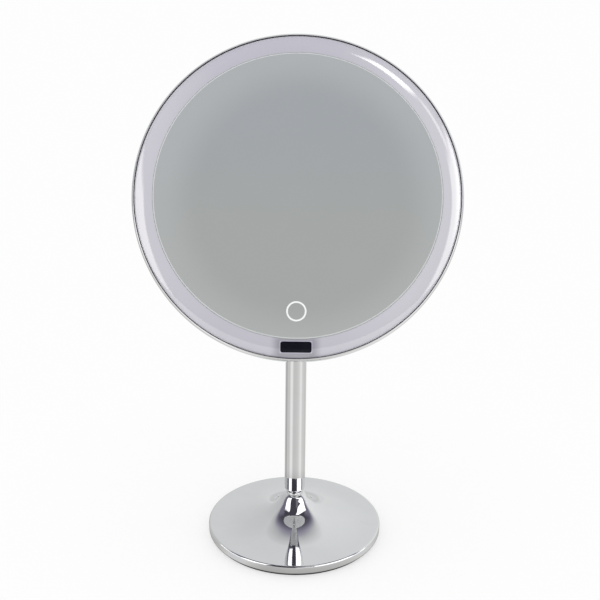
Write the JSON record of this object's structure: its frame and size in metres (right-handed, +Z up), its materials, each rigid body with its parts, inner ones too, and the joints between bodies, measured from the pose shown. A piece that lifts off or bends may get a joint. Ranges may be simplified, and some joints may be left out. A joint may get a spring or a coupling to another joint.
{
  "type": "lighted vanity mirror",
  "caption": "Free-standing lighted make-up mirror: round tilting mirror with a light ring, touch mark and sensor window, on a tube stem and a flared weighted disc base.",
  "frame": {"origin": "centre of the foot pad's underside, on the stem's axis, at table height", "axes": "+Z up along the stem; the mirror faces -Y and, at rest, leans back 30 degrees from upright; +X is to the right of someone looking into the mirror"},
  "size_m": [0.2352, 0.1544, 0.3941],
  "materials": {
    "chrome_plate": "mirror-polished chrome plate",
    "silvered_glass": "silvered float glass, flat",
    "white_mark": "white etched ring",
    "milky_acrylic": "gloss milky diffuser",
    "smoked_window": "gloss infrared-pass black",
    "satin_cover": "satin silver plated shell",
    "black_rubber": "matt rubber",
    "white_abs": "moulded white",
    "black_abs": "moulded black",
    "board_white": "white solder mask",
    "board_green": "green solder mask",
    "chip_black": "moulded packages",
    "led_package": "phosphor packages",
    "clear_epoxy": "clear epoxy dome",
    "light_pipe": "frosted clear",
    "steel": "plain steel, turned",
    "plated_steel": "bright plated fasteners",
    "cast_weight": "as-cast disc",
    "copper": "copper foil",
    "foam": "closed-cell foam tape",
    "cell_wrap": "pouch foil",
    "wire_pvc": "PVC insulation",
    "friction_nylon": "nylon"
  },
  "bodies": {
    "base": {"base_shell": "chrome_plate", "base_weight": "cast_weight", "foot_pad": "black_rubber", "swivel_bolt": "steel", "swivel_washer": "chrome_plate", "spring_washer": "steel", "swivel_nut": "steel"},
    "stem": {"stem_tube": "chrome_plate", "stem_bottom_plug": "friction_nylon", "neck_knuckle": "chrome_plate"},
    "head": {"mirror_glass": "silvered_glass", "touch_ring_mark": "white_mark", "touch_pad": "copper", "mirror_foam_tape": "foam", "light_ring_lens": "milky_acrylic", "rim_band": "chrome_plate", "rim_gasket": "black_rubber", "sensor_window": "smoked_window", "sensor_board": "board_white", "sensor_shroud": "black_abs", "ir_emitter": "clear_epoxy", "ir_receiver": "chip_black", "led_ring_board": "board_white", "led_chips": "led_package", "chassis_tray": "white_abs", "control_board": "board_green", "control_chips": "chip_black", "board_screws": "steel", "usb_port_shell": "steel", "usb_port_tongue": "black_abs", "power_switch_body": "black_abs", "charge_light_pipe": "light_pipe", "battery_foam_pad": "foam", "battery_cell": "cell_wrap", "battery_strap": "foam", "battery_wires": "wire_pvc", "led_wires": "wire_pvc", "sensor_wires": "wire_pvc", "touch_wire": "wire_pvc", "rear_cover": "satin_cover", "rear_cover_screws": "plated_steel", "hinge_bracket": "chrome_plate", "hinge_bracket_screws": "plated_steel", "hinge_screw": "plated_steel", "hinge_nut": "plated_steel", "friction_washers": "friction_nylon"},
    "power_switch": {"power_switch_slider": "black_abs"}
  },
  "joints": [
    {"name": "stem_swivel", "type": "hinge", "parent": "base", "child": "stem", "pos_m": [0, 0, 0.0395], "axis": [0, 0, 1], "continuous": true},
    {"name": "head_tilt", "type": "hinge", "parent": "stem", "child": "head", "pos_m": [0, 0, 0.2768], "axis": [1, 0, 0], "range_deg": [-20, 35]},
    {"name": "power_switch_slide", "type": "slide", "parent": "head", "child": "power_switch", "axis": [1, 0, 0], "range_m": [0, 0.003]}
  ]
}
